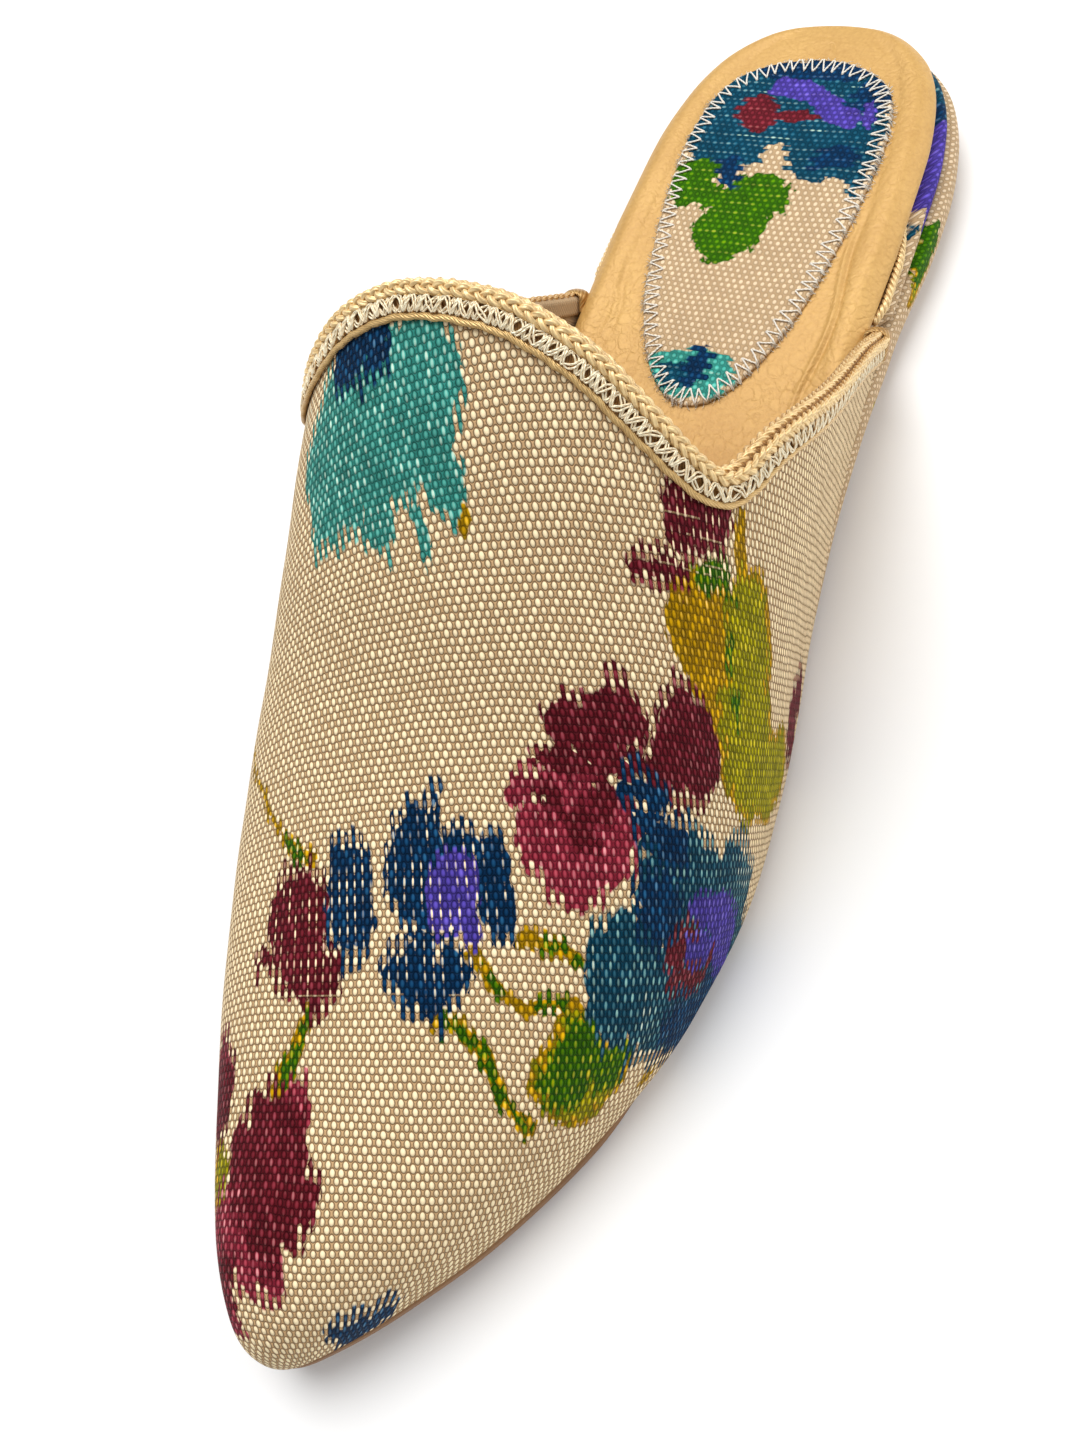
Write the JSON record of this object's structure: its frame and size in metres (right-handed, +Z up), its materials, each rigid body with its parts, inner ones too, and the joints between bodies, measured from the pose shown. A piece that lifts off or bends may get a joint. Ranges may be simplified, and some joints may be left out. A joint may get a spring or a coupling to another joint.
{
  "type": "babouche slipper",
  "caption": "Backless slipper with a pointed hollow cloth vamp, braided collar, padded leather insole with an oval cloth patch, low covered wedge heel and a thin leather sole.",
  "frame": {"origin": "middle of the bounding box on the floor, under the waist of the sole", "axes": "+Z up, -Y towards the toe, +Y towards the heel, +X to the wearer's left"},
  "size_m": [0.0854, 0.2648, 0.0876],
  "materials": {
    "outsole": "plain tan sole leather",
    "heel_wedge": "warp-faced cloth, beige with green",
    "heel_band": "warp-faced cloth, navy and purple to beige",
    "heel_cord": "twisted gold cord",
    "insole": "soft gold grained leather over padding",
    "heel_patch": "warp-faced cloth, blue, green and beige",
    "upper": "warp-faced beige cloth with a floral warp print",
    "collar_braid": "flat gold gimp braid"
  },
  "bodies": {
    "root": {"outsole": "outsole", "heel_wedge": "heel_wedge", "heel_band": "heel_band", "heel_cord": "heel_cord", "insole": "insole", "heel_patch": "heel_patch", "upper": "upper", "collar_braid": "collar_braid"}
  },
  "joints": []
}
